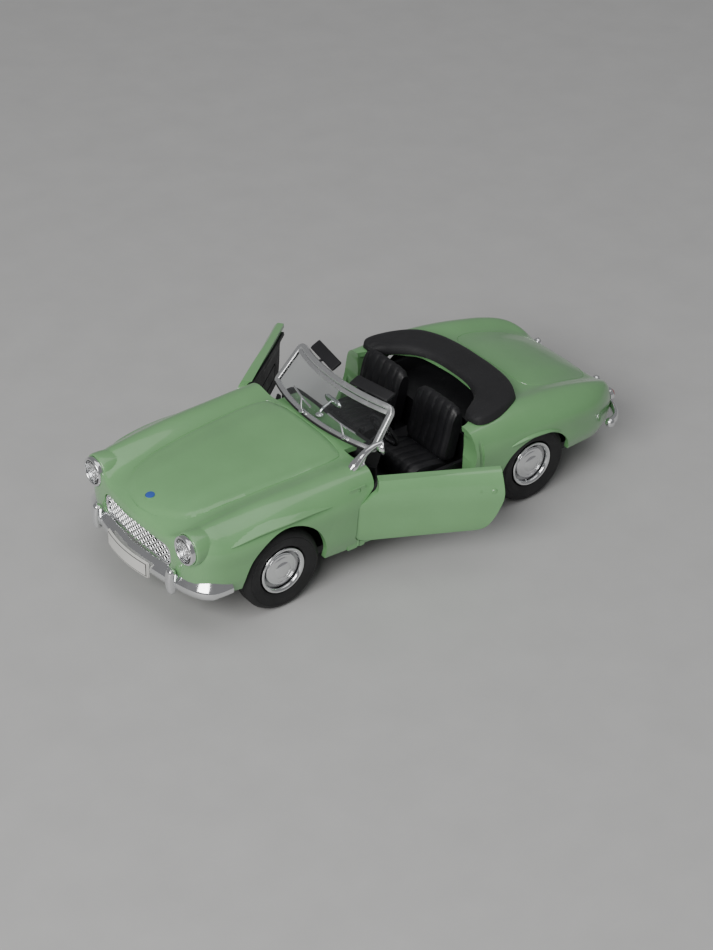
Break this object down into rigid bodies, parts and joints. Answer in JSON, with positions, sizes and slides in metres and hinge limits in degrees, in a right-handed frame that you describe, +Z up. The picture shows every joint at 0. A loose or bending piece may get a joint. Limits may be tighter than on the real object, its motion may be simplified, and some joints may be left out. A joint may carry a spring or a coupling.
{
  "type": "diecast collector car",
  "caption": "Open two-seat diecast roadster with opening doors, rolling wheels, folded soft top and full interior, for display or play.",
  "frame": {"origin": "on the ground under the middle of the car's outline with both doors standing open as displayed", "axes": "+X to the front of the car, +Y to its left side, +Z up"},
  "size_m": [0.1216, 0.0794, 0.0351],
  "materials": {
    "green_paint": "pastel green gloss enamel on zinc casting",
    "bright_trim": "vacuum-plated bright trim",
    "black_plastic": "satin moulded black",
    "blue_enamel": "glossy blue enamel dot, left plain",
    "hood_cloth_look": "matt black moulding with a cloth-like grain",
    "rubber": "soft black, slight sheen",
    "clear": "clear moulded plastic",
    "lens": "clear ribbed plastic",
    "red_lens": "glossy red",
    "plate": "printed pale plate, left blank",
    "steel": "plain drawn steel"
  },
  "bodies": {
    "car": {"body_shell": "green_paint", "base_plate": "black_plastic", "front_base_screw": "steel", "rear_base_screw": "steel", "interior_tub": "black_plastic", "left_seat": "black_plastic", "right_seat": "black_plastic", "dashboard": "black_plastic", "steering_wheel": "black_plastic", "gear_lever": "bright_trim", "soft_top_cover": "hood_cloth_look", "windscreen_frame": "bright_trim", "windscreen_glass": "clear", "left_sun_visor": "black_plastic", "right_sun_visor": "black_plastic", "left_wiper": "bright_trim", "right_wiper": "bright_trim", "interior_mirror": "bright_trim", "wing_mirror": "bright_trim", "left_headlight_bezel": "bright_trim", "right_headlight_bezel": "bright_trim", "left_headlight_lens": "lens", "right_headlight_lens": "lens", "grille": "bright_trim", "front_bumper": "bright_trim", "rear_bumper": "bright_trim", "front_number_plate": "plate", "rear_number_plate": "plate", "left_tail_light": "red_lens", "right_tail_light": "red_lens", "bonnet_badge": "blue_enamel", "left_hinge_pin": "steel", "right_hinge_pin": "steel"},
    "front_wheelset": {"front_axle": "steel", "left_front_tyre": "rubber", "left_front_rim": "bright_trim", "left_front_hub_cap": "bright_trim", "right_front_tyre": "rubber", "right_front_rim": "bright_trim", "right_front_hub_cap": "bright_trim"},
    "rear_wheelset": {"rear_axle": "steel", "left_rear_tyre": "rubber", "left_rear_rim": "bright_trim", "left_rear_hub_cap": "bright_trim", "right_rear_tyre": "rubber", "right_rear_rim": "bright_trim", "right_rear_hub_cap": "bright_trim"},
    "left_door_body": {"left_door": "green_paint", "left_door_card": "black_plastic"},
    "right_door_body": {"right_door": "green_paint", "right_door_card": "black_plastic"}
  },
  "joints": [
    {"name": "left_door_hinge", "type": "hinge", "parent": "car", "child": "left_door_body", "pos_m": [0.01785, 0.02477, 0.014], "axis": [0, 0, -1], "range_deg": [-27.5, 14.5]},
    {"name": "right_door_hinge", "type": "hinge", "parent": "car", "child": "right_door_body", "pos_m": [0.01785, -0.01983, 0.014], "axis": [0, 0, 1], "range_deg": [-38.7, 3.3]},
    {"name": "front_wheels", "type": "hinge", "parent": "car", "child": "front_wheelset", "pos_m": [0.0365, 0.00247, 0.00925], "axis": [0, 1, 0], "continuous": true},
    {"name": "rear_wheels", "type": "hinge", "parent": "car", "child": "rear_wheelset", "pos_m": [-0.03015, 0.00247, 0.00925], "axis": [0, 1, 0], "continuous": true}
  ]
}
